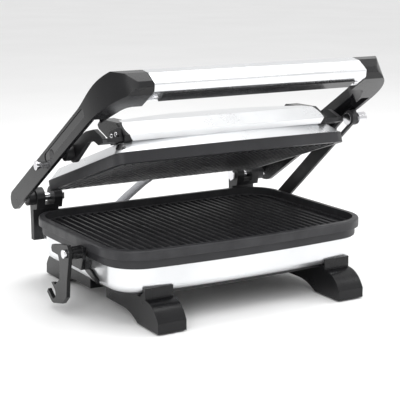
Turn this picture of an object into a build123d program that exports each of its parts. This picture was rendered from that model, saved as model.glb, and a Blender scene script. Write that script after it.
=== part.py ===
"""Contact grill with a floating lid, made as separate pieces, in millimetres.

X runs across the grill, -Y is the front, +Z is up. The origin is on the surface the grill stands
on, under the middle of its overall box, with the lid open. The lever frame swings about the hinge
pins, the lid floats on the float pins, and both are drawn here in the open pose.
"""

import os
from math import cos, radians, sin

from build123d import *

os.makedirs("parts", exist_ok=True)

# ---- base ----
BASE_Y = -1.6  # middle of the base
BASE_HALF_W = 142.0
BASE_HALF_D = 104.0
BASE_CORNER = 38.0
FRONT_BOW = 8.4  # how far the middle of the front edge stands out from its ends
RIM_TOP = 73.0
RIM_BOTTOM = 64.3
BEZEL_TOP = 64.0
BEZEL_BOTTOM = 55.3
BEZEL_FLANGE = 2.0
TUB_TOP = 55.0
TUB_BOTTOM = 31.0
PAN_TOP = 30.7
PAN_BOTTOM = 28.2
STEP = 3.4  # each band is set in from the one above
TUB_WALL = 2.0
TUB_EDGE = 8.0  # radius of the lower edge
GRILL_TOP = 66.0  # tips of the ribs
RIB_HEIGHT = 3.0
RIB_PITCH = 8.0
RIB_WIDTH = 3.4
GRILL_FLOOR = 4.0
RIM_WALL = 6.0

# ---- hinge posts ----
POST_INNER_X = 106.0
POST_OUTER_X = 134.0
POST_BACK = 113.0  # back face, from the middle of the base
POST_PLATE = 7.2  # thickness of the part that is screwed on
POST_X = 116.0  # middle of the pads and of the screws

# ---- legs ----
LEG_INNER_X = 85.0
LEG_WIDTH = 29.0
FRONT_REACH = 119.0  # from the middle of the base
REAR_REACH = 122.2
PAD_HEIGHT = 1.5

# ---- lever frame ----
HINGE_Y = BASE_Y + 104
HINGE_Z = 87.0
ARM_ANGLE = 32.5
ARM_OUTER_X = 155.0
ARM_INNER_X = 142.0
ARM_HALF = 9.5
CAP_X = 128.0  # where the bent part of an arm ends
TUBE_AT = 242.0  # from the hinge pins to the handle, along the arms
TUBE_UP = 4.0  # middle of the handle above the middle of the arms
TUBE_HALF_LENGTH = 113.5
TUBE_WALL = 1.8
FLOAT_AT = 112.0  # from the hinge pins to the float pins, along the arms
PIN_R = 4.0
RUNNING = 0.06  # radial clearance of a turning pin

# ---- lid, in its own plane: y runs to the back, z away from the grill face ----
LID_ANGLE = 18.3
LID_Y = BASE_Y + 5.6
LID_Z = 121.5
LID_HALF_W = 126.5
LID_HALF_D = 86.3
LID_CORNER = 11.0
LID_BOW = 5.0
BAND_TOP = 11.2
COVER_TOP = 21.5
COVER_SLOPE = 10.0
BRIDGE_HALF = 106.0
CAP_HALF = 112.5

# ---- latch, on the left ----
LATCH_Y = BASE_Y - 29.1
LATCH_Z = 61.3
LATCH_X = -156.4
LATCH_THICK = 3.6
CATCH_AT = 87.6  # from the hinge pins to the stud that the hook takes, along the left arm
HOOK_ANGLE = -54.9  # hanging
HOOK_R = 5.6
HOOK_WALL = 4.5
CLOSING = 29.88  # turn of the lever frame from open to closed

# ---- stay, on the right ----
STAY_Y = BASE_Y + 86
STAY_Z = 48.0
STAY_X = 143.3
STAY_THICK = 3.0
STAY_TRAVEL = 23.0
STAY_WIDTH = 15.0
STAY_SLOT = 8.8
STUD_Y = BASE_Y - 51
STUD_Z = 166.0
STUD_R = 2.8

HEAD_X = 163.2  # outer end of the latch pin and of the knob


def save(piece, name):
    """Label a finished piece and write it."""
    piece.part.label = name
    export_step(piece.part, f"parts/{name}.step")


def level(height):
    """Horizontal plane over the middle of the base."""
    return Plane((0, BASE_Y, height))


arm_sin = sin(radians(ARM_ANGLE))
arm_cos = cos(radians(ARM_ANGLE))
arm_plane = Plane((0, HINGE_Y, HINGE_Z), x_dir=(1, 0, 0), z_dir=(0, arm_sin, arm_cos))
lid_sin = sin(radians(LID_ANGLE))
lid_cos = cos(radians(LID_ANGLE))
lid_plane = Plane((0, LID_Y, LID_Z), x_dir=(1, 0, 0), z_dir=(0, lid_sin, lid_cos))
lid_up = Axis(lid_plane.origin, lid_plane.z_dir)


def across(plane, x):
    """Plane across X at x, with its own x to the back of plane and its own y up from it."""
    origin = plane.from_local_coords(Vector(x, 0, 0))
    return Plane(origin, x_dir=plane.y_dir, z_dir=plane.x_dir)


def plan(plane, half_w, half_d, radius, bow, inset=0.0):
    """Outline with rounded corners and a front edge that bows forwards."""
    w = half_w - inset
    d = half_d - inset
    with BuildSketch(plane) as outline:
        with BuildLine():
            Polyline((-w, bow - d), (-w, d), (w, d), (w, bow - d))
            ThreePointArc((w, bow - d), (0, -d), (-w, bow - d))
        make_face()
        fillet(outline.vertices(), max(radius - inset, 1.2))
    return outline.sketch


def base_plan(height, inset=0.0):
    return plan(level(height), BASE_HALF_W, BASE_HALF_D, BASE_CORNER, FRONT_BOW, inset)


def lid_plan(height, inset=0.0):
    return plan(lid_plane.offset(height), LID_HALF_W, LID_HALF_D, LID_CORNER, LID_BOW, inset)


def mirrored(piece, name):
    """Write the right hand twin of a left hand piece."""
    with BuildPart() as twin:
        add(mirror(piece.part, about=Plane.YZ))
    save(twin, name)
    return twin


# ================================ base ================================

tub_inset = 2 * STEP
with BuildPart() as tub_space:
    extrude(base_plan(TUB_BOTTOM + TUB_WALL, tub_inset + TUB_WALL), amount=TUB_TOP - TUB_BOTTOM)
    fillet(tub_space.faces().sort_by(Axis.Z)[0].edges(), TUB_EDGE - TUB_WALL)
    extrude(base_plan(TUB_BOTTOM - 1, tub_inset + 14), amount=TUB_WALL + 2)

with BuildPart() as base_tub:
    extrude(base_plan(TUB_BOTTOM, tub_inset), amount=TUB_TOP - TUB_BOTTOM)
    fillet(base_tub.faces().sort_by(Axis.Z)[0].edges(), TUB_EDGE)
    for x in (-POST_X, POST_X):
        # pads that the hinge posts are screwed to
        with BuildSketch(Plane((x, BASE_Y + 86, 49), z_dir=(0, 0, 1))):
            Rectangle(16, POST_BACK - POST_PLATE - 0.1 - 86, align=(Align.CENTER, Align.MIN))
        extrude(amount=5.9, both=True)
    add(tub_space.part, mode=Mode.SUBTRACT)
save(base_tub, "base_tub")

with BuildPart() as base_bezel:
    extrude(base_plan(BEZEL_BOTTOM, STEP), amount=BEZEL_TOP - BEZEL_BOTTOM)
    fillet(base_bezel.faces().sort_by(Axis.Z)[0].edges(), 1.2)
    extrude(base_plan(BEZEL_BOTTOM, STEP + 9), amount=BEZEL_FLANGE, mode=Mode.SUBTRACT)
    above_flange = base_plan(BEZEL_BOTTOM + BEZEL_FLANGE, STEP + 2.7)
    extrude(above_flange, amount=BEZEL_TOP - BEZEL_BOTTOM, mode=Mode.SUBTRACT)
save(base_bezel, "base_bezel")

def rib_row(plane, up, count, half_w, half_d, corner, bow):
    """Section and length of each rib with its foot on plane, shorter at the rounded corners."""
    for i in range(count):
        x = (i - (count - 1) / 2) * RIB_PITCH
        past_corner = max(0.0, abs(x) - (half_w - corner))
        reach = half_d - corner + max(corner**2 - past_corner**2, 0.0) ** 0.5
        front = bow * (x / half_w) ** 2 - reach
        start = plane.from_local_coords(Vector(x, front, 0))
        with BuildSketch(Plane(start, x_dir=(-up, 0, 0), z_dir=plane.y_dir)) as section:
            Trapezoid(RIB_WIDTH, RIB_HEIGHT, 75, align=(Align.CENTER, Align.MIN))
            Rectangle(RIB_WIDTH, 0.5, align=(Align.CENTER, Align.MAX))
        yield section.sketch, reach - front


grill_base = GRILL_TOP - RIB_HEIGHT
with BuildPart() as lower_grill:
    extrude(base_plan(RIM_BOTTOM), amount=RIM_TOP - RIM_BOTTOM)
    fillet(lower_grill.faces().sort_by(Axis.Z)[-1].edges(), 2)
    extrude(base_plan(RIM_BOTTOM - 1, RIM_WALL), amount=RIM_TOP - RIM_BOTTOM + 2, mode=Mode.SUBTRACT)
    extrude(base_plan(grill_base - GRILL_FLOOR, STEP + 3), amount=GRILL_FLOOR + RIM_BOTTOM - grill_base)
    extrude(base_plan(RIM_BOTTOM, 2), amount=1.2)
    extrude(base_plan(grill_base, RIM_WALL + 3), amount=RIM_TOP - grill_base, mode=Mode.SUBTRACT)
    rib_gap = RIM_WALL + 5
    for section, length in rib_row(
        level(grill_base), 1, 31,
        BASE_HALF_W - rib_gap, BASE_HALF_D - rib_gap, BASE_CORNER - rib_gap, FRONT_BOW,
    ):
        extrude(section, amount=length)
save(lower_grill, "lower_grill")

with BuildPart() as base_pan:
    extrude(base_plan(PAN_BOTTOM, tub_inset + 8), amount=PAN_TOP - PAN_BOTTOM)
    # vent slots under the element
    with BuildSketch(level(PAN_BOTTOM)):
        with GridLocations(16, 70, 9, 2):
            SlotOverall(36, 4, rotation=90)
    extrude(amount=PAN_TOP - PAN_BOTTOM, mode=Mode.SUBTRACT)
save(base_pan, "base_pan")


def heater(plane, half_w, half_d, radius, name):
    """Sheathed element bent into a loop that is open at the back."""
    with BuildPart() as element:
        with BuildLine(plane) as loop:
            FilletPolyline(
                (24, half_d), (half_w, half_d), (half_w, -half_d), (-half_w, -half_d),
                (-half_w, half_d), (-24, half_d), radius=radius,
            )
        with BuildSketch(Plane(loop.line @ 0, z_dir=loop.line % 0)):
            Circle(3.3)
        sweep()
    save(element, name)


heater(level(GRILL_TOP - RIB_HEIGHT - GRILL_FLOOR - 3.4), 100, 62, 26, "lower_element")
heater(lid_plane.offset(12.5), 88, 52, 24, "upper_element")

with BuildPart() as thermostat:
    with BuildSketch(level(40)):
        Rectangle(26, 18)
    extrude(amount=grill_base - GRILL_FLOOR - 40)
    fillet(thermostat.edges().filter_by(Axis.Z), 3)
    with BuildSketch(level(40)):
        with GridLocations(14, 0, 2, 1):
            Rectangle(6, 0.8)
    extrude(amount=-6)
save(thermostat, "thermostat")

with BuildPart() as grill_screws:
    with BuildSketch(level(PAN_TOP)):
        with GridLocations(180, 0, 2, 1):
            Circle(4)
    extrude(amount=grill_base - GRILL_FLOOR - PAN_TOP)
save(grill_screws, "grill_studs")

with BuildPart() as pan_screws:
    with BuildSketch(level(PAN_BOTTOM)):
        with GridLocations(180, 0, 2, 1):
            Circle(4)
        with GridLocations(244, 90, 2, 2):
            Circle(4)
    extrude(amount=-1.8)
    fillet(pan_screws.faces().group_by(Axis.Z)[0].edges(), 0.8)
save(pan_screws, "pan_screws")

# ---- legs ----


def leg(x_low, side, reach, name):
    """Curved leg: a beam under the base, a foot that stands out by reach, and a lip in front of the tub."""
    start = x_low if side > 0 else x_low + LEG_WIDTH
    section = Plane((start, BASE_Y, 0), x_dir=(0, side, 0), z_dir=(side, 0, 0))
    tab = reach - 23.5
    beam_top = PAN_BOTTOM - 0.1
    with BuildPart() as body:
        with BuildSketch(section) as outline:
            with BuildLine():
                ThreePointArc((reach - 2.7, 15.3), (reach - 9.5, 22.4), (tab, 27))
                Polyline((tab, 27), (tab, 37.5), (tab - 7, 37.5), (tab - 9, beam_top), (17, beam_top))
                Polyline((17, beam_top), (17, 10), (50, 10))
                ThreePointArc((50, 10), (69, 7), (80, PAD_HEIGHT))
                Polyline((80, PAD_HEIGHT), (reach, PAD_HEIGHT), (reach, 11), (reach - 2.7, 15.3))
            make_face()
        extrude(amount=LEG_WIDTH)
        # room for the tub and the pan
        extrude(base_plan(TUB_BOTTOM - 0.1, tub_inset - 0.1), amount=24, mode=Mode.SUBTRACT)
        extrude(base_plan(PAN_BOTTOM - 0.05, tub_inset + 7), amount=2.9, mode=Mode.SUBTRACT)
    save(body, name)


legs = (
    (LEG_INNER_X, -1, FRONT_REACH, "leg_front_right"),
    (-LEG_INNER_X - LEG_WIDTH, -1, FRONT_REACH, "leg_front_left"),
    (LEG_INNER_X, 1, REAR_REACH, "leg_rear_right"),
    (-LEG_INNER_X - LEG_WIDTH, 1, REAR_REACH, "leg_rear_left"),
)
for placing in legs:
    leg(*placing)

with BuildPart() as leg_pads:
    for x_low, side, reach, name in legs:
        with BuildSketch(Plane((x_low + LEG_WIDTH / 2, BASE_Y + side * (reach - 19.5), 0))):
            RectangleRounded(22, 26, 4)
        extrude(amount=PAD_HEIGHT)
save(leg_pads, "leg_pads")

# ---- hinge posts ----
post_width = POST_OUTER_X - POST_INNER_X

with BuildPart() as hinge_post_left:
    with BuildSketch(across(level(0), -POST_OUTER_X)):
        with BuildLine():
            Polyline((POST_BACK - POST_PLATE, 42), (POST_BACK, 42), (POST_BACK, 60), (114, HINGE_Z))
            ThreePointArc((114, HINGE_Z), (104, HINGE_Z + 10), (94.3, HINGE_Z))
            Polyline((94.3, HINGE_Z), (97, 76), (POST_BACK - POST_PLATE, 74), (POST_BACK - POST_PLATE, 42))
        make_face()
    extrude(amount=post_width)
    with BuildSketch(across(level(0), -POST_OUTER_X - 1)):
        with Locations((HINGE_Y - BASE_Y, HINGE_Z)):
            Circle(PIN_R)
    extrude(amount=post_width + 2, mode=Mode.SUBTRACT)
    # two cheeks with a gap between them
    with BuildSketch(across(level(0), -POST_OUTER_X + 9)):
        with Locations((HINGE_Y - BASE_Y, HINGE_Z + 8)):
            Rectangle(40, 30)
    extrude(amount=post_width - 18, mode=Mode.SUBTRACT)
save(hinge_post_left, "hinge_post_left")
hinge_post_right = mirrored(hinge_post_left, "hinge_post_right")

with BuildPart() as post_screws:
    for x in (-POST_X, POST_X):
        with BuildSketch(Plane((x, BASE_Y + POST_BACK + 0.05, 49), z_dir=(0, 1, 0))):
            with GridLocations(14, 0, 2, 1):
                Circle(2.6)
        extrude(amount=1.6)
save(post_screws, "post_screws")

with BuildPart() as hinge_pins:
    for side in (-1, 1):
        with BuildSketch(Plane((side * POST_INNER_X, HINGE_Y, HINGE_Z), z_dir=(side, 0, 0))):
            Circle(PIN_R)
        extrude(amount=ARM_OUTER_X - 4.5 - POST_INNER_X)
        with BuildSketch(Plane((side * POST_INNER_X, HINGE_Y, HINGE_Z), z_dir=(-side, 0, 0))):
            RegularPolygon(6.5, 6)
        extrude(amount=3.5)
save(hinge_pins, "hinge_pins")

# ---- latch bracket and pin ----
tub_side_x = BASE_HALF_W - tub_inset
bracket_x = -146
bracket_plane = Plane((bracket_x, LATCH_Y, LATCH_Z), x_dir=(0, 1, 0), z_dir=(1, 0, 0))
with BuildPart() as latch_bracket:
    with BuildSketch(bracket_plane):
        with BuildLine():
            Polyline((-6, 5), (6, 5), (24, -9), (24, -17), (-2, -17), (-6, -6), close=True)
        make_face()
    extrude(amount=-BASE_HALF_W - 0.5 - bracket_x)
    # foot on the side of the tub, under the bands
    with BuildSketch(bracket_plane):
        with Locations((11, -13.25)):
            Rectangle(26, 7.5)
    extrude(amount=-tub_side_x - 0.1 - bracket_x)
    with BuildSketch(bracket_plane):
        Circle(6)
    extrude(amount=LATCH_X + 1.2 - bracket_x)
save(latch_bracket, "latch_bracket")

with BuildPart() as latch_tail:
    with BuildSketch(Plane((-tub_side_x - 0.1, LATCH_Y, LATCH_Z), x_dir=(0, 1, 0), z_dir=(1, 0, 0))):
        with BuildLine():
            Polyline(
                (14, -17.3), (-4, -17.3), (-10, -20.2), (-19, -24), (-18, -27.3), (-6, -24.4), (5, -21.5),
                close=True,
            )
        make_face()
    extrude(amount=-2.4)
save(latch_tail, "latch_tail")

with BuildPart() as latch_pin:
    with BuildSketch(Plane((LATCH_X + 1.1, LATCH_Y, LATCH_Z), z_dir=(-1, 0, 0))):
        Circle(2.5)
    extrude(amount=LATCH_THICK + 1.7)
    with BuildSketch(Plane((LATCH_X - LATCH_THICK - 0.4, LATCH_Y, LATCH_Z), z_dir=(-1, 0, 0))):
        Circle(4)
    extrude(amount=HEAD_X + LATCH_X - LATCH_THICK - 0.4)
save(latch_pin, "latch_pin")

# ---- bracket and pin of the stay ----
with BuildPart() as stay_bracket:
    with BuildSketch(Plane((STAY_X - 0.5, STAY_Y, STAY_Z), z_dir=(-1, 0, 0))):
        Circle(7)
    extrude(amount=STAY_X - 0.5 - 124.6)
    extrude(base_plan(TUB_BOTTOM - 1, tub_inset - 0.1), amount=TUB_TOP - TUB_BOTTOM + 2, mode=Mode.SUBTRACT)
save(stay_bracket, "stay_bracket")

with BuildPart() as stay_pin:
    with BuildSketch(Plane((STAY_X - 0.5, STAY_Y, STAY_Z), z_dir=(1, 0, 0))):
        Circle(3)
    extrude(amount=STAY_THICK + 1)
    with BuildSketch(Plane((STAY_X + STAY_THICK + 0.5, STAY_Y, STAY_Z), z_dir=(1, 0, 0))):
        Circle(5)
    extrude(amount=2)
save(stay_pin, "stay_pin")

# ---- mains inlet and conduit ----
with BuildPart() as mains_inlet:
    with BuildSketch(Plane((66, BASE_Y + BASE_HALF_D - tub_inset + 0.1, 43), z_dir=(0, 1, 0))):
        Circle(8)
    extrude(amount=4)
    with BuildSketch(Plane((66, BASE_Y + BASE_HALF_D - tub_inset + 4.1, 43), z_dir=(0, 1, 0))):
        Circle(6)
    extrude(amount=8, taper=8)
    with BuildSketch(Plane((66, BASE_Y + BASE_HALF_D + 6, 43), z_dir=(0, -1, 0))):
        Circle(3.4)
    extrude(amount=12, mode=Mode.SUBTRACT)
save(mains_inlet, "mains_inlet")

CONDUIT_R = 4.5
CONDUIT_X = -52.0
conduit_gland_y = BASE_Y + BASE_HALF_D - tub_inset
with BuildPart() as conduit_gland:
    with BuildSketch(Plane((CONDUIT_X, conduit_gland_y + 0.1, 46), z_dir=(0, 1, 0))):
        RegularPolygon(8, 6)
    extrude(amount=7)
save(conduit_gland, "conduit_gland")

conduit_end = lid_plane.from_local_coords(Vector(26, LID_HALF_D - 0.5, 16))
with BuildPart() as wiring_conduit:
    with BuildLine() as route:
        FilletPolyline(
            (CONDUIT_X, conduit_gland_y + 7.2, 46),
            (CONDUIT_X, conduit_gland_y + 19, 46),
            (-28, conduit_gland_y + 20, 69),
            (-2, conduit_gland_y + 18, 88),
            (16, conduit_gland_y + 10, 101),
            tuple(conduit_end),
            radius=9,
        )
    with BuildSketch(Plane(route.line @ 0, z_dir=route.line % 0)):
        Circle(CONDUIT_R)
    sweep()
save(wiring_conduit, "wiring_conduit")

# ================================ lever frame ================================


def arm_point(along, up=0.0):
    """Point in the middle plane, along the arms from the hinge pins and up from them."""
    return Vector(0, HINGE_Y - along * arm_cos + up * arm_sin, HINGE_Z + along * arm_sin + up * arm_cos)


arm_section = across(arm_plane, -ARM_OUTER_X)
front_edge = TUBE_AT + 15
cap_end = -TUBE_HALF_LENGTH - 0.2
with BuildPart() as arm_left:
    with BuildSketch(arm_plane.offset(-20)):
        with BuildLine():
            Polyline((-ARM_INNER_X, -190), (-ARM_INNER_X, 12), (-ARM_OUTER_X, 12), (-ARM_OUTER_X, -190))
            Spline((-ARM_OUTER_X, -190), (-147.5, -236), (-CAP_X, -front_edge), tangents=((0, -1), (1, -0.5)))
            Polyline(
                (-CAP_X, -front_edge), (cap_end, -front_edge), (cap_end, 15 - TUBE_AT), (-122, 15 - TUBE_AT),
            )
            Spline((-122, 15 - TUBE_AT), (-133.5, -217), (-ARM_INNER_X, -190), tangents=((-1, 0), (-0.1, 1)))
        make_face()
    extrude(amount=40)
    # side view: round end at the hinge, deeper and faceted like the handle at its front
    with BuildSketch(arm_section):
        with BuildLine():
            ThreePointArc((0, -ARM_HALF), (ARM_HALF, 0), (0, ARM_HALF))
            Line((0, ARM_HALF), (-185, ARM_HALF))
            Spline((-185, ARM_HALF), (-1 - TUBE_AT, TUBE_UP + 13.6), tangents=((-1, 0), (-1, 0)))
            Polyline(
                (-1 - TUBE_AT, TUBE_UP + 13.6), (-10 - TUBE_AT, TUBE_UP + 6.6), (-front_edge, TUBE_UP - 4),
                (-front_edge, TUBE_UP - 9.7), (-8 - TUBE_AT, TUBE_UP - 13.5), (-185, -ARM_HALF),
            )
            Line((-185, -ARM_HALF), (0, -ARM_HALF))
        make_face()
    extrude(amount=ARM_OUTER_X, mode=Mode.INTERSECT)
    # the lower inner edge is cut away at a slant
    with BuildSketch(Plane(arm_point(-14), x_dir=(1, 0, 0), z_dir=tuple(-arm_plane.y_dir))):
        with BuildLine():
            Polyline((-ARM_INNER_X + 1, 1), (-ARM_INNER_X + 1, -16), (-152, -16), (-151, -9.6), close=True)
        make_face()
    extrude(amount=220, mode=Mode.SUBTRACT)
    # recess for the inlay
    with BuildSketch(across(arm_plane, -ARM_OUTER_X + 1.6)):
        with Locations((-147, 2.2)):
            SlotOverall(102, 8.6)
    extrude(amount=-5, mode=Mode.SUBTRACT)
    for along, skin in ((0, 4), (FLOAT_AT, -1)):
        with BuildSketch(across(arm_plane, -ARM_OUTER_X + skin)):
            with Locations((-along, 0)):
                Circle(PIN_R + RUNNING)
        extrude(amount=40, mode=Mode.SUBTRACT)
save(arm_left, "arm_left")
arm_right = mirrored(arm_left, "arm_right")

with BuildPart() as arm_inlay_left:
    with BuildSketch(across(arm_plane, -ARM_OUTER_X + 1.5)):
        with Locations((-147, 2.2)):
            SlotOverall(101.8, 8.4)
        with Locations((-FLOAT_AT, 0)):
            Circle(PIN_R + 0.8, mode=Mode.SUBTRACT)
    extrude(amount=-0.9)
save(arm_inlay_left, "arm_inlay_left")
mirrored(arm_inlay_left, "arm_inlay_right")

# faceted section of the handle, about its own middle: x towards the back, y up from the arms
tube_section = [
    (-2, 13.4), (-11, 5.4), (-16.5, -7.6), (-12, -13), (5, -13), (14.5, -7), (14.5, 6), (8, 12.4)
]
with BuildPart() as handle_tube:
    with BuildSketch(across(arm_plane, -TUBE_HALF_LENGTH)) as facets:
        with BuildLine():
            Polyline(*[(x - TUBE_AT, y + TUBE_UP) for x, y in tube_section], close=True)
        make_face()
        fillet(facets.vertices(), 2.2)
        offset(amount=-TUBE_WALL, mode=Mode.SUBTRACT)
    extrude(amount=2 * TUBE_HALF_LENGTH)
save(handle_tube, "handle_tube")

with BuildPart() as grip_insert:
    with BuildSketch(across(arm_plane, -103)):
        with Locations((-TUBE_AT - 1.5, TUBE_UP - 13.9)):
            Rectangle(12, 1.7)
    extrude(amount=206)
save(grip_insert, "grip_insert")

with BuildPart() as handle_screws:
    for x in (-108, 108):
        screw_face = arm_plane.from_local_coords(Vector(x, -TUBE_AT - 1.5, TUBE_UP - 13.05))
        with BuildSketch(Plane(screw_face, z_dir=-arm_plane.z_dir)):
            Circle(2.8)
        extrude(amount=1.8)
save(handle_screws, "handle_screws")

float_point = arm_point(FLOAT_AT)


def pin_stack(centre, side, stretches):
    """Coaxial discs along X: pairs of ends, each with its radius."""
    for low, high, radius in stretches:
        with BuildPart(mode=Mode.PRIVATE) as disc:
            with BuildSketch(Plane((side * low, centre.Y, centre.Z), z_dir=(side, 0, 0))):
                Circle(radius)
            extrude(amount=high - low)
        yield disc.part


with BuildPart() as float_pins:
    for side in (-1, 1):
        stretches = ((127.2, 128.8, 6), (128.8, ARM_OUTER_X - 0.4, PIN_R))
        for disc in pin_stack(float_point, side, stretches):
            add(disc)
save(float_pins, "float_pins")


def bushes(centre, name):
    """Spacer rings on both sides, between the arms and what they turn on."""
    with BuildPart() as rings:
        for side in (-1, 1):
            with BuildSketch(Plane((side * (POST_OUTER_X + 0.3), centre.Y, centre.Z), z_dir=(side, 0, 0))):
                Circle(7.5)
                Circle(PIN_R + RUNNING, mode=Mode.SUBTRACT)
            extrude(amount=ARM_INNER_X - POST_OUTER_X - 0.6)
    save(rings, name)


bushes(Vector(0, HINGE_Y, HINGE_Z), "hinge_bushes")
bushes(float_point, "float_bushes")

# ---- stud on the left arm that the hook takes ----
with BuildPart() as catch_stud:
    for disc in pin_stack(arm_point(CATCH_AT), -1, ((ARM_OUTER_X + 0.05, 160.6, 3.2), (160.6, 162.4, 4.4))):
        add(disc)
save(catch_stud, "catch_stud")

# ---- lug, stud and knob of the stay, on the right arm ----
stud_point = Vector(0, STUD_Y, STUD_Z)
stud_local = arm_plane.to_local_coords(stud_point)
with BuildPart() as stay_lug:
    with BuildSketch(across(arm_plane, STAY_X + STAY_THICK + 1)):
        with Locations((stud_local.Y, stud_local.Z)):
            Circle(6.5)
        with Locations((stud_local.Y, (stud_local.Z - ARM_HALF - 0.1) / 2)):
            Rectangle(13, -stud_local.Z - ARM_HALF - 0.1)
        with Locations((stud_local.Y, stud_local.Z)):
            Circle(STUD_R + 0.02, mode=Mode.SUBTRACT)
    extrude(amount=4.4)
save(stay_lug, "stay_lug")

with BuildPart() as stay_stud:
    lug_outer = STAY_X + STAY_THICK + 5.4
    stretches = (
        (STAY_X - 1, STAY_X - 0.3, 6), (STAY_X - 0.3, lug_outer + 0.1, STUD_R),
        (lug_outer + 0.1, lug_outer + 2, 4.4), (lug_outer + 2, HEAD_X, 6),
    )
    for disc in pin_stack(stud_point, 1, stretches):
        add(disc)
save(stay_stud, "stay_knob")

# ================================ lid ================================

with BuildPart() as lid_bezel:
    extrude(lid_plan(0.8), amount=BAND_TOP - 0.8)
    fillet(lid_bezel.faces().sort_by(lid_up)[-1].edges(), 1)
    extrude(lid_plan(0, 3), amount=BAND_TOP + 1, mode=Mode.SUBTRACT)
save(lid_bezel, "lid_bezel")

upper_inset = 3.1
with BuildPart() as upper_grill:
    extrude(lid_plan(0.8, upper_inset), amount=7.7)
    extrude(lid_plan(0, upper_inset + 4.5), amount=3, mode=Mode.SUBTRACT)
    rib_gap = upper_inset + 5.5
    for section, length in rib_row(
        lid_plane.offset(RIB_HEIGHT), -1, 30,
        LID_HALF_W - rib_gap, LID_HALF_D - rib_gap, LID_CORNER - rib_gap, LID_BOW,
    ):
        extrude(section, amount=length)
save(upper_grill, "upper_grill")

cover_low = BAND_TOP + 0.1
with BuildPart() as lid_cover:
    for inset, depth, mode in ((1.5, 0.0, Mode.ADD), (3.3, 1.5, Mode.SUBTRACT)):
        low = cover_low - (0.1 if mode == Mode.SUBTRACT else 0)
        loft([lid_plan(low, inset), lid_plan(COVER_TOP - depth, inset + COVER_SLOPE)], mode=mode)
    lens_dir = Vector(-0.8, -0.6, 0) * 0.707 + Vector(0, 0, 0.707)
    lens_at = Vector(-117.6, -73, 16.5)
    world_lens = lid_plane.from_local_coords(lens_at)
    world_dir = lid_plane.from_local_coords(lens_at + lens_dir) - world_lens
    with BuildSketch(Plane(world_lens - world_dir * 4, z_dir=world_dir)):
        Circle(4.6)
    extrude(amount=9, mode=Mode.SUBTRACT)
save(lid_cover, "lid_cover")

with BuildPart() as lens:
    with BuildSketch(Plane(world_lens - world_dir * 3, z_dir=world_dir)):
        Circle(4.5)
    extrude(amount=4.6)
    fillet(lens.edges().sort_by(Axis(world_lens, world_dir))[-1:], 1.2)
save(lens, "lid_lens")

with BuildPart() as reflector:
    extrude(lid_plan(17.2, 13), amount=0.8)
save(reflector, "lid_reflector")

with BuildPart() as fuse:
    with BuildSketch(lid_plane.offset(8.6)):
        Rectangle(30, 12)
    extrude(amount=6)
save(fuse, "thermal_fuse")

# ---- bridge with its end caps ----
bridge_floor = COVER_TOP + 0.1
bridge_profile = [
    (-73.5, bridge_floor), (-76.5, 27), (-62, 41), (-30, 51), (-22, 47.5), (-24, 42), (-50, bridge_floor)
]


def bridge_outline(x):
    """Side view of the bridge, on the plane that crosses the lid at x."""
    with BuildSketch(across(lid_plane, x)) as outline:
        with BuildLine():
            Polyline(*bridge_profile, close=True)
        make_face()
        fillet(outline.vertices().sort_by(lid_up)[-4:], 2.4)
    return outline.sketch


bridge_end = BRIDGE_HALF - 3
with BuildPart() as bridge_solid:
    extrude(bridge_outline(-BRIDGE_HALF - 3), amount=2 * BRIDGE_HALF + 6)
    # seen from the front its ends are rounded
    with BuildSketch(Plane(lid_plane.origin, x_dir=(1, 0, 0), z_dir=-lid_plane.y_dir)):
        with BuildLine():
            ThreePointArc((-bridge_end, 45), (0, 51.5), (bridge_end, 45))
            ThreePointArc((bridge_end, 45), (bridge_end + 6, 34), (bridge_end, bridge_floor - 1))
            Line((bridge_end, bridge_floor - 1), (-bridge_end, bridge_floor - 1))
            ThreePointArc((-bridge_end, bridge_floor - 1), (-bridge_end - 6, 34), (-bridge_end, 45))
        make_face()
    extrude(amount=120, mode=Mode.INTERSECT)

with BuildPart() as bridge_cap_left:
    extrude(bridge_outline(-CAP_HALF), amount=CAP_HALF - BRIDGE_HALF + 8)
    chamfer(bridge_cap_left.faces().sort_by(Axis.X)[0].edges(), 1.2)
    add(bridge_solid.part, mode=Mode.SUBTRACT)
save(bridge_cap_left, "bridge_cap_left")
mirrored(bridge_cap_left, "bridge_cap_right")

with BuildPart() as lid_bridge:
    add(bridge_solid.part)
    hollow = offset(bridge_outline(-BRIDGE_HALF + 14), amount=-1.6, mode=Mode.PRIVATE)
    extrude(hollow, amount=2 * BRIDGE_HALF - 28, mode=Mode.SUBTRACT)
save(lid_bridge, "lid_bridge")

# ---- yokes ----
float_local = lid_plane.to_local_coords(float_point)
YOKE_INNER_X = 129.2
YOKE_OUTER_X = 133.2
with BuildPart() as yoke_left:
    with BuildSketch(across(lid_plane, -YOKE_OUTER_X)) as strap:
        with BuildLine():
            Polyline(
                (float_local.Y + 2, float_local.Z + 9.3), (-40, 39), (-57, 37.5), (-70, 28), (-72, 22.4),
                (-61, 22.4), (-52, 28), (-40, 28.5), (float_local.Y - 4, float_local.Z - 8.6), close=True,
            )
        make_face()
        with Locations((float_local.Y, float_local.Z)):
            Circle(9.5)
            Circle(PIN_R + RUNNING, mode=Mode.SUBTRACT)
    extrude(amount=YOKE_OUTER_X - YOKE_INNER_X)
    # foot that turns in under the strap, and the tab on the cap's end
    with BuildSketch(across(lid_plane, -YOKE_OUTER_X)):
        with Locations((-65.5, 24.4)):
            Rectangle(11, 4)
    extrude(amount=YOKE_OUTER_X - CAP_HALF - 0.1)
    with BuildSketch(across(lid_plane, -CAP_HALF - 3.1)):
        with Locations((-60, 29)):
            Rectangle(20, 13)
    extrude(amount=3)
save(yoke_left, "yoke_left")
mirrored(yoke_left, "yoke_right")

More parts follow.
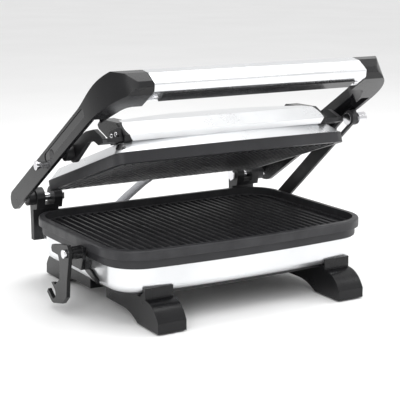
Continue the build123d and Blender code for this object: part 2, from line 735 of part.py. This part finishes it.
with BuildPart() as yoke_screws:
    for side in (-1, 1):
        for y in (-65, -56):
            start = lid_plane.from_local_coords(Vector(side * (CAP_HALF + 3.2), y, 30))
            with BuildSketch(Plane(start, z_dir=(side, 0, 0))):
                Circle(2.4)
            extrude(amount=1.5)
save(yoke_screws, "yoke_screws")

# ================================ latch lever ================================

closed_angle = radians(ARM_ANGLE - CLOSING)
catch_y = HINGE_Y - CATCH_AT * cos(closed_angle) - LATCH_Y
catch_z = HINGE_Z + CATCH_AT * sin(closed_angle) - LATCH_Z
hook_reach = (catch_y**2 + catch_z**2) ** 0.5
lever_plane = Plane((LATCH_X, LATCH_Y, LATCH_Z), x_dir=(0, 1, 0), z_dir=(1, 0, 0))
hook_y = hook_reach * cos(radians(HOOK_ANGLE))
hook_z = hook_reach * sin(radians(HOOK_ANGLE))
with BuildPart() as latch_lever:
    with BuildSketch(lever_plane):
        with BuildLine():
            Polyline(
                (-7, 3), (-3, 8.5), (10, 7), (31, 2.5), (33, -1), (31.5, -4.5), (18, -5), (14.5, -12),
                (16, -28), (hook_y - 6, hook_z + 9.3), (hook_y, hook_z), (hook_y - 2, hook_z - 9.8),
                (10, -50), (1, -42), (-1, -25), (-5, -8), close=True,
            )
        make_face()
        with Locations(Location((hook_y, hook_z), HOOK_ANGLE + 90)):
            Circle(HOOK_R + HOOK_WALL)
            with Locations((5, -HOOK_R - HOOK_WALL / 2)):
                Rectangle(10, HOOK_WALL)
            Circle(HOOK_R, mode=Mode.SUBTRACT)
            Rectangle(22, 2 * HOOK_R, align=(Align.MIN, Align.CENTER), mode=Mode.SUBTRACT)
        Circle(2.5 + RUNNING, mode=Mode.SUBTRACT)
    extrude(amount=-LATCH_THICK)
save(latch_lever, "latch_lever")

# ================================ stay ================================

to_stud = stud_point - Vector(0, STAY_Y, STAY_Z)
stay_reach = to_stud.length
stay_plane = Plane((STAY_X, STAY_Y, STAY_Z), x_dir=tuple(to_stud.normalized()), z_dir=(1, 0, 0))
with BuildPart() as lid_stay:
    with BuildSketch(stay_plane):
        with Locations((stay_reach / 2, 0)):
            SlotOverall(stay_reach + STAY_WIDTH + 4, STAY_WIDTH)
        Circle(3 + RUNNING, mode=Mode.SUBTRACT)
        with Locations((stay_reach - STAY_TRAVEL / 2 + 0.2, 0)):
            SlotOverall(STAY_TRAVEL + STAY_SLOT, STAY_SLOT, mode=Mode.SUBTRACT)
    extrude(amount=STAY_THICK)
save(lid_stay, "lid_stay")
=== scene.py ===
"""Looks of the contact grill: camera, studio, materials and the small pieces the CAD keeps plain."""

from math import cos, pi, radians, sin

import bmesh
import bpy
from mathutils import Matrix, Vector


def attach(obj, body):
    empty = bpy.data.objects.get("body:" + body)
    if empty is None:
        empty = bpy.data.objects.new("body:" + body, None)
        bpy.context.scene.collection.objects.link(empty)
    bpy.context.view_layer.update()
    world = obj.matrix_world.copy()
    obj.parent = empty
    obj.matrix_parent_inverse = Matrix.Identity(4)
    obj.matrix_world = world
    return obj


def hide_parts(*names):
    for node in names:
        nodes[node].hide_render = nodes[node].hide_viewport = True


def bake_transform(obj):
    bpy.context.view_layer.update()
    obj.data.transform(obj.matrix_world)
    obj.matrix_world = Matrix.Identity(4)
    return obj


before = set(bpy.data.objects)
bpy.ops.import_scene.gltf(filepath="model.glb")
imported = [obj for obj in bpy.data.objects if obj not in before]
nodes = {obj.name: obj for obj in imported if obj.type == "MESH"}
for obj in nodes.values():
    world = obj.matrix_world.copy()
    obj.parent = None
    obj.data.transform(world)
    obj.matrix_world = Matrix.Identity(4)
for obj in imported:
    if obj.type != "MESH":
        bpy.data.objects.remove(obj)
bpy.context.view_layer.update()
scene = bpy.context.scene

# driving values: angles in degrees and lengths in metres
ARM_TILT = 32.5  # slope of the open arms
CONDUIT_R = 0.0044  # a little under the CAD's, so that it stays inside it
SHARP_ANGLE = 35  # faces that meet at more than this keep a sharp edge
BEVEL_SAMPLES = 4
FLOOR_HALF = 8

# ================================ camera ================================

camera = bpy.data.objects.new("camera", bpy.data.cameras.new("camera"))
scene.collection.objects.link(camera)
camera.data.sensor_width = 36
camera.data.lens = 107
camera.data.clip_start = 0.05
camera.location = (-0.5961, -0.9959, 0.3358)
camera.rotation_euler = Vector((0.5031, 0.8387, -0.2084)).to_track_quat("-Z", "Y").to_euler()
scene.camera = camera

# ================================ materials ================================


def tree(name):
    """New material with its node tree, its shader and a coordinate in metres."""
    material = bpy.data.materials.new(name)
    material.use_nodes = True
    net = material.node_tree
    shader = net.nodes["Principled BSDF"]
    place = net.nodes.new("ShaderNodeTexCoord")
    return material, net, shader, place.outputs["Object"]


def noise(net, coordinate, scale, detail=3.0, stretch=None, rough=0.55):
    """Noise value at a scale in features per metre, stretched along an axis if asked."""
    if stretch:
        mapping = net.nodes.new("ShaderNodeMapping")
        mapping.inputs["Scale"].default_value = stretch
        net.links.new(coordinate, mapping.inputs["Vector"])
        coordinate = mapping.outputs["Vector"]
    texture = net.nodes.new("ShaderNodeTexNoise")
    texture.inputs["Scale"].default_value = scale
    texture.inputs["Detail"].default_value = detail
    texture.inputs["Roughness"].default_value = rough
    net.links.new(coordinate, texture.inputs["Vector"])
    return texture.outputs["Fac"]


def spread(net, value, low, high, start=0.3, stop=0.7):
    """Value from start to stop becomes low to high."""
    node = net.nodes.new("ShaderNodeMapRange")
    for socket, number in zip(("From Min", "From Max", "To Min", "To Max"), (start, stop, low, high)):
        node.inputs[socket].default_value = number
    net.links.new(value, node.inputs["Value"])
    return node.outputs["Result"]


def blend_colour(net, factor, first, second):
    """First colour where the factor is 0 and second where it is 1."""
    node = net.nodes.new("ShaderNodeMix")
    node.data_type = "RGBA"
    net.links.new(factor, node.inputs[0])
    for socket, colour in ((node.inputs[6], first), (node.inputs[7], second)):
        if isinstance(colour, tuple):
            socket.default_value = (*colour, 1)
        else:
            net.links.new(colour, socket)
    return node.outputs[2]


def bumped(net, shader, value, depth, edge=0.0, below=None):
    """Bump of a depth in metres, over softened edges and over another bump."""
    bump = net.nodes.new("ShaderNodeBump")
    bump.inputs["Strength"].default_value = 1
    bump.inputs["Distance"].default_value = depth
    net.links.new(value, bump.inputs["Height"])
    if below is not None:
        net.links.new(below, bump.inputs["Normal"])
    elif edge:
        bevel = net.nodes.new("ShaderNodeBevel")
        bevel.samples = BEVEL_SAMPLES
        bevel.inputs["Radius"].default_value = edge
        net.links.new(bevel.outputs["Normal"], bump.inputs["Normal"])
    net.links.new(bump.outputs["Normal"], shader.inputs["Normal"])
    return bump.outputs["Normal"]


def worn_and_highlit_edge(net, radius):
    """Mask for edges lightened as wear and as a painted highlight: 1 at an edge and 0 on a flat, how far a
    softened normal leans from the true one.
    """
    bevel = net.nodes.new("ShaderNodeBevel")
    bevel.samples = BEVEL_SAMPLES
    bevel.inputs["Radius"].default_value = radius
    true_normal = net.nodes.new("ShaderNodeNewGeometry")
    dot = net.nodes.new("ShaderNodeVectorMath")
    dot.operation = "DOT_PRODUCT"
    net.links.new(bevel.outputs["Normal"], dot.inputs[0])
    net.links.new(true_normal.outputs["Normal"], dot.inputs[1])
    return spread(net, dot.outputs["Value"], 1.0, 0.0, 0.86, 0.99)


def surface(
    name, colour, second, roughness, *, metallic=0.0, patch=40, grain=900, grain_depth=0.00002, stretch=None,
    ripple=0.0, ripple_depth=0.0, coat=0.0, edge=0.0004, wear_and_highlight=None, specular=0.5, sheen=0.0,
):
    """Finish with patches of colour and gloss, a fine grain, a slow ripple, and edges lightened in colour as
    wear and as a painted highlight.
    """
    material, net, shader, at = tree(name)
    patches = noise(net, at, patch, 4)
    fine = noise(net, at, grain, 4, stretch, 0.65)
    tone = blend_colour(net, spread(net, patches, 0, 1), colour, second)
    tone = blend_colour(net, spread(net, fine, 0.0, 0.35, 0.45, 0.8), tone, second)
    # edges get a lighter colour: partly wear, partly a painted highlight along the edges
    if wear_and_highlight:
        tone = blend_colour(net, spread(net, worn_and_highlit_edge(net, edge * 1.6), 0, 0.6, 0, 1), tone, wear_and_highlight)
    net.links.new(tone, shader.inputs["Base Color"])
    low, high = roughness
    net.links.new(spread(net, noise(net, at, patch * 1.7, 5), low, high), shader.inputs["Roughness"])
    shader.inputs["Metallic"].default_value = metallic
    shader.inputs["Specular IOR Level"].default_value = specular
    shader.inputs["Coat Weight"].default_value = coat
    shader.inputs["Coat Roughness"].default_value = 0.06
    shader.inputs["Sheen Weight"].default_value = sheen
    below = None
    if ripple:
        below = bumped(net, shader, noise(net, at, ripple, 1), ripple_depth, edge=edge)
    bumped(net, shader, fine, grain_depth, edge=edge, below=below)
    return material


silver = surface(
    "silver_shell", (0.84, 0.85, 0.86), (0.72, 0.73, 0.745), (0.25, 0.36), metallic=0.9, patch=9, grain=2600,
    grain_depth=0.000006, ripple=14, ripple_depth=0.00012, edge=0.0006,
)
polished = surface(
    "brushed_handle", (0.86, 0.87, 0.88), (0.74, 0.75, 0.77), (0.2, 0.32), metallic=0.95, patch=12, grain=900,
    grain_depth=0.000008, stretch=(0.04, 1, 1), edge=0.0007,
)
# the last colour given is the lighter edge colour: wear and painted edge highlight
coating = surface(
    "nonstick_coating", (0.017, 0.017, 0.019), (0.034, 0.034, 0.037), (0.36, 0.5), patch=60, grain=2200,
    grain_depth=0.00006, edge=0.0005, wear_and_highlight=(0.07, 0.07, 0.074), specular=0.35,
)
# the last colour given is the lighter edge colour: wear and painted edge highlight
charcoal = surface(
    "charcoal_band", (0.016, 0.016, 0.018), (0.027, 0.027, 0.03), (0.38, 0.5), patch=30, grain=1900,
    grain_depth=0.00005, edge=0.0005, wear_and_highlight=(0.045, 0.045, 0.048), specular=0.35,
)
# the last colour given is the lighter edge colour: wear and painted edge highlight
gloss = surface(
    "gloss_black", (0.003, 0.003, 0.0035), (0.007, 0.007, 0.008), (0.2, 0.3), patch=25, grain=2400,
    grain_depth=0.000008, ripple=60, ripple_depth=0.00003, edge=0.0007, wear_and_highlight=(0.012, 0.012, 0.013),
    specular=0.32,
)
inlay = surface(
    "inlay_black", (0.003, 0.003, 0.0035), (0.006, 0.006, 0.007), (0.12, 0.2), patch=30, grain=1500,
    grain_depth=0.000006, coat=0.1, edge=0.0003, specular=0.4,
)
# the last colour given is the lighter edge colour: wear and painted edge highlight
satin = surface(
    "satin_black", (0.01, 0.01, 0.011), (0.02, 0.02, 0.022), (0.34, 0.48), metallic=0.2, patch=45, grain=1700,
    grain_depth=0.00004, edge=0.0004, wear_and_highlight=(0.06, 0.06, 0.063),
)
chrome = surface(
    "polished_steel", (0.82, 0.82, 0.84), (0.68, 0.68, 0.7), (0.09, 0.2), metallic=1.0, patch=90, grain=1300,
    grain_depth=0.000006, edge=0.0003,
)
heated = surface(
    "heated_metal", (0.33, 0.31, 0.3), (0.2, 0.18, 0.19), (0.4, 0.6), metallic=0.9, patch=50, grain=1500,
    grain_depth=0.00002, edge=0.0003,
)
rubber = surface(
    "foot_rubber", (0.018, 0.018, 0.018), (0.034, 0.034, 0.034), (0.7, 0.88), patch=60, grain=1500,
    grain_depth=0.00008, edge=0.0005, sheen=0.15,
)
lens = surface(
    "dark_lens", (0.004, 0.004, 0.005), (0.01, 0.009, 0.01), (0.04, 0.09), patch=80, grain=900,
    grain_depth=0.000003, coat=1.0, edge=0.0003,
)
ceramic = surface(
    "ceramic", (0.74, 0.71, 0.65), (0.64, 0.6, 0.53), (0.5, 0.65), patch=70, grain=1400, grain_depth=0.00004,
    edge=0.0003,
)


def braid():
    """Grey sleeve woven from fine yarn."""
    material, net, shader, at = tree("grey_sleeve")
    weave = net.nodes.new("ShaderNodeTexWave")
    weave.bands_direction = "DIAGONAL"
    weave.inputs["Scale"].default_value = 420
    weave.inputs["Distortion"].default_value = 3
    weave.inputs["Detail"].default_value = 2
    net.links.new(at, weave.inputs["Vector"])
    tone = blend_colour(net, weave.outputs["Fac"], (0.34, 0.35, 0.37), (0.56, 0.57, 0.6))
    tone = blend_colour(net, spread(net, noise(net, at, 55, 3), 0, 0.5), tone, (0.3, 0.3, 0.32))
    net.links.new(tone, shader.inputs["Base Color"])
    net.links.new(spread(net, noise(net, at, 300), 0.55, 0.75), shader.inputs["Roughness"])
    shader.inputs["Sheen Weight"].default_value = 0.2
    bumped(net, shader, weave.outputs["Fac"], 0.00025)
    return material


sleeve = braid()

LOOKS = {
    silver: ("base_tub", "lid_cover", "lid_bridge"),
    polished: ("handle_tube",),
    coating: ("lower_grill", "upper_grill"),
    charcoal: ("base_bezel", "lid_bezel"),
    gloss: (
        "arm_left", "arm_right", "leg_front_left", "leg_front_right", "leg_rear_left", "leg_rear_right",
        "latch_bracket", "latch_tail", "latch_lever", "bridge_cap_left", "bridge_cap_right", "mains_inlet",
    ),
    inlay: ("arm_inlay_left", "arm_inlay_right", "grip_insert"),
    satin: (
        "hinge_post_left", "hinge_post_right", "yoke_left", "yoke_right", "lid_stay", "stay_lug",
        "stay_bracket", "base_pan", "hinge_bushes", "float_bushes", "float_pins",
    ),
    chrome: (
        "hinge_pins", "catch_stud", "latch_pin", "stay_pin", "stay_knob", "post_screws", "pan_screws",
        "grill_studs", "yoke_screws", "handle_screws", "conduit_gland", "lid_reflector",
    ),
    heated: ("lower_element", "upper_element"),
    rubber: ("leg_pads",),
    lens: ("lid_lens",),
    ceramic: ("thermostat", "thermal_fuse"),
    sleeve: ("wiring_conduit",),
}
for look, names in LOOKS.items():
    for name in names:
        data = nodes[name].data
        data.materials.clear()
        data.materials.append(look)

# ================================ small pieces ================================


def islands(name):
    """Separate solids of a CAD node, as lists of their points."""
    mesh = bmesh.new()
    mesh.from_mesh(nodes[name].data)
    bmesh.ops.remove_doubles(mesh, verts=mesh.verts, dist=1e-6)
    seen = set()
    found = []
    # the mesh's own order, because a set's order changes from run to run
    for start in mesh.verts:
        if start in seen:
            continue
        seen.add(start)
        stack = [start]
        group = []
        while stack:
            vertex = stack.pop()
            group.append(vertex.co.copy())
            for edge in vertex.link_edges:
                other = edge.other_vert(vertex)
                if other not in seen:
                    seen.add(other)
                    stack.append(other)
        found.append(group)
    mesh.free()
    return found


def new_piece(name, mesh, look):
    """Object in the scene from an edited mesh, which is freed."""
    data = bpy.data.meshes.new(name)
    mesh.to_mesh(data)
    mesh.free()
    for polygon in data.polygons:
        polygon.use_smooth = True
    data.materials.append(look)
    piece = bpy.data.objects.new(name, data)
    scene.collection.objects.link(piece)
    return piece


def lathe(profile, centre, axis, steps=40):
    """Mesh turned about axis at centre, from pairs of radius and height."""
    mesh = bmesh.new()
    turn = Vector(axis).to_track_quat("Z", "Y")
    rings = []
    for radius, height in profile:
        count = steps if radius > 1e-6 else 1
        ring = []
        for i in range(count):
            angle = 2 * pi * i / steps
            spot = Vector((radius * cos(angle), radius * sin(angle), height))
            ring.append(mesh.verts.new(centre + turn @ spot))
        rings.append(ring)
    for low, high in zip(rings, rings[1:]):
        for i in range(steps):
            j = (i + 1) % steps
            quad = [low[i % len(low)], low[j % len(low)], high[j % len(high)], high[i % len(high)]]
            corners = list(dict.fromkeys(quad))
            if len(corners) > 2:
                mesh.faces.new(corners)
    bmesh.ops.recalc_face_normals(mesh, faces=mesh.faces)
    return mesh


def cross_head(points, outwards, name, body):
    """Domed screw head with a cross recess, in the space of a plain disc."""
    axis = Vector(outwards).normalized()
    centre = sum(points, Vector()) / len(points)
    heights = [(p - centre).dot(axis) for p in points]
    radius = max(((p - centre) - axis * (p - centre).dot(axis)).length for p in points)
    low, high = min(heights), max(heights)
    tall = high - low
    profile = [(0, low), (radius, low), (radius, low + tall * 0.35)]
    profile += [
        (radius * cos(radians(a)), low + tall * (0.35 + 0.65 * sin(radians(a)))) for a in (15, 32, 50, 66, 80)
    ]
    profile.append((0, high))
    mesh = lathe(profile, centre, axis)
    body_mesh = new_piece(name, mesh, chrome)
    # the recess is cut with two crossed tapered bars
    cutter_mesh = bmesh.new()
    turn = axis.to_track_quat("Z", "Y")
    for length, width in ((radius * 0.62, radius * 0.13), (radius * 0.13, radius * 0.62)):
        rows = []
        for depth, scale in ((high + 0.0005, 1.1), (high - tall * 0.75, 0.55)):
            rows.append([
                cutter_mesh.verts.new(centre + turn @ Vector((x * length * scale, y * width * scale, depth)))
                for x, y in ((-1, -1), (1, -1), (1, 1), (-1, 1))
            ])
        cutter_mesh.faces.new(rows[0])
        cutter_mesh.faces.new(rows[1][::-1])
        for i in range(4):
            j = (i + 1) % 4
            cutter_mesh.faces.new((rows[0][i], rows[1][i], rows[1][j], rows[0][j]))
    bmesh.ops.recalc_face_normals(cutter_mesh, faces=cutter_mesh.faces)
    cutter_data = bpy.data.meshes.new(name + "_cutter")
    cutter_mesh.to_mesh(cutter_data)
    cutter_mesh.free()
    cutter = bpy.data.objects.new(name + "_cutter", cutter_data)
    scene.collection.objects.link(cutter)
    cut = body_mesh.modifiers.new("recess", "BOOLEAN")
    cut.object = cutter
    cut.use_self = True
    bpy.context.view_layer.update()
    result = bpy.data.meshes.new_from_object(body_mesh.evaluated_get(bpy.context.evaluated_depsgraph_get()))
    body_mesh.modifiers.clear()
    body_mesh.data = result
    bpy.data.objects.remove(cutter)
    smooth_by_angle(body_mesh)
    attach(body_mesh, body)
    return body_mesh


def smooth_by_angle(piece, angle=SHARP_ANGLE):
    """Smooth faces with sharp edges where they meet at more than angle degrees."""
    mesh = bmesh.new()
    mesh.from_mesh(piece.data)
    for edge in mesh.edges:
        if len(edge.link_faces) == 2:
            edge.smooth = edge.calc_face_angle(0) < radians(angle)
    for face in mesh.faces:
        face.smooth = True
    mesh.to_mesh(piece.data)
    mesh.free()


arm_down = -Vector((0, sin(radians(ARM_TILT)), cos(radians(ARM_TILT))))


def side_of(points):
    """1 on the right of the middle and -1 on the left."""
    return 1 if sum(p.x for p in points) > 0 else -1


for node, body, direction in (
    ("handle_screws", "lever_frame", lambda points: arm_down),
    ("yoke_screws", "lid", lambda points: (side_of(points), 0, 0)),
    ("post_screws", "base", lambda points: (0, 1, 0)),
    ("pan_screws", "base", lambda points: (0, 0, -1)),
):
    for count, points in enumerate(islands(node)):
        head = cross_head(points, direction(points), f"{node}_{count}", body)
        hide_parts(node)


def tube(route, radius, name, sides=20):
    """Mesh tube along a smooth open curve through the neighbourhood of the route's points."""
    curve = bpy.data.curves.new(name + "_line", "CURVE")
    curve.dimensions = "3D"
    spline = curve.splines.new("NURBS")
    spline.points.add(len(route) - 1)
    for point, place in zip(spline.points, route):
        point.co = (*place, 1)
    spline.order_u = 3
    spline.use_endpoint_u = True
    spline.resolution_u = 16
    holder = bpy.data.objects.new(name + "_line", curve)
    line = bpy.data.meshes.new_from_object(holder)
    points = [v.co.copy() for v in line.vertices]
    bpy.data.objects.remove(holder)
    mesh = bmesh.new()
    rings = []
    side = Vector((1, 0, 0))
    for i, point in enumerate(points):
        ahead = (points[min(i + 1, len(points) - 1)] - points[max(i - 1, 0)]).normalized()
        side = (side - ahead * side.dot(ahead)).normalized()
        up = ahead.cross(side)
        rings.append([
            mesh.verts.new(point + (side * cos(2 * pi * k / sides) + up * sin(2 * pi * k / sides)) * radius)
            for k in range(sides)
        ])
    for low, high in zip(rings, rings[1:]):
        for k in range(sides):
            mesh.faces.new((low[k], low[(k + 1) % sides], high[(k + 1) % sides], high[k]))
    for ring in (rings[0], rings[-1]):
        mesh.faces.new(ring)
    bmesh.ops.recalc_face_normals(mesh, faces=mesh.faces)
    return new_piece(name, mesh, sleeve)


# conduit: out of the base, past the hinge line with the lever frame, and into the lid
lower = [
    (-0.052, 0.1029, 0.046), (-0.052, 0.1146, 0.046), (-0.041, 0.1152, 0.057), (-0.028, 0.1154, 0.069),
    (-0.014, 0.1146, 0.079), (-0.002, 0.1134, 0.088),
]
upper = [
    (-0.002, 0.1134, 0.088), (0.007, 0.1102, 0.0945), (0.016, 0.1056, 0.101), (0.023, 0.099, 0.1063),
    (0.026, 0.0903, 0.1098),
]
conduit_low = tube(lower, CONDUIT_R, "conduit_low")
conduit_high = tube(upper, CONDUIT_R, "conduit_high")
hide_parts("wiring_conduit")
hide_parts("wiring_conduit")
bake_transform(conduit_low)
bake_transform(conduit_high)

# ================================ studio ================================

floor_mesh = bpy.data.meshes.new("floor")
floor_corners = [(x * FLOOR_HALF, y * FLOOR_HALF, 0) for x, y in ((-1, -1), (1, -1), (1, 1), (-1, 1))]
floor_mesh.from_pydata(floor_corners, [], [(0, 1, 2, 3)])
floor = bpy.data.objects.new("floor", floor_mesh)
scene.collection.objects.link(floor)
paper, paper_net, paper_shader, paper_at = tree("pale_floor")
paper_tone = blend_colour(
    paper_net, spread(paper_net, noise(paper_net, paper_at, 3), 0, 1), (0.9, 0.9, 0.9), (0.93, 0.93, 0.93)
)
paper_net.links.new(paper_tone, paper_shader.inputs["Base Color"])
paper_shader.inputs["Roughness"].default_value = 0.85
floor_mesh.materials.append(paper)

world = bpy.data.worlds.new("studio")
world.use_nodes = True
world.node_tree.nodes["Background"].inputs["Color"].default_value = (1, 1, 1, 1)
world.node_tree.nodes["Background"].inputs["Strength"].default_value = 0.85
scene.world = world


def softbox(name, at, target, size, power):
    """Rectangular lamp that faces the target."""
    lamp = bpy.data.lights.new(name, "AREA")
    lamp.shape = "RECTANGLE"
    lamp.size, lamp.size_y = size
    lamp.energy = power
    holder = bpy.data.objects.new(name, lamp)
    holder.location = at
    holder.rotation_euler = (Vector(target) - Vector(at)).to_track_quat("-Z", "Y").to_euler()
    scene.collection.objects.link(holder)


softbox("top", (0.1, -0.1, 1.3), (0, 0, 0.1), (1.2, 0.9), 11)
softbox("front_left", (-1.1, -1.0, 0.9), (0, 0, 0.12), (0.7, 0.9), 7)
softbox("right", (1.3, -0.5, 0.7), (0, 0, 0.1), (0.5, 0.9), 5)
scene.view_settings.view_transform = "Standard"
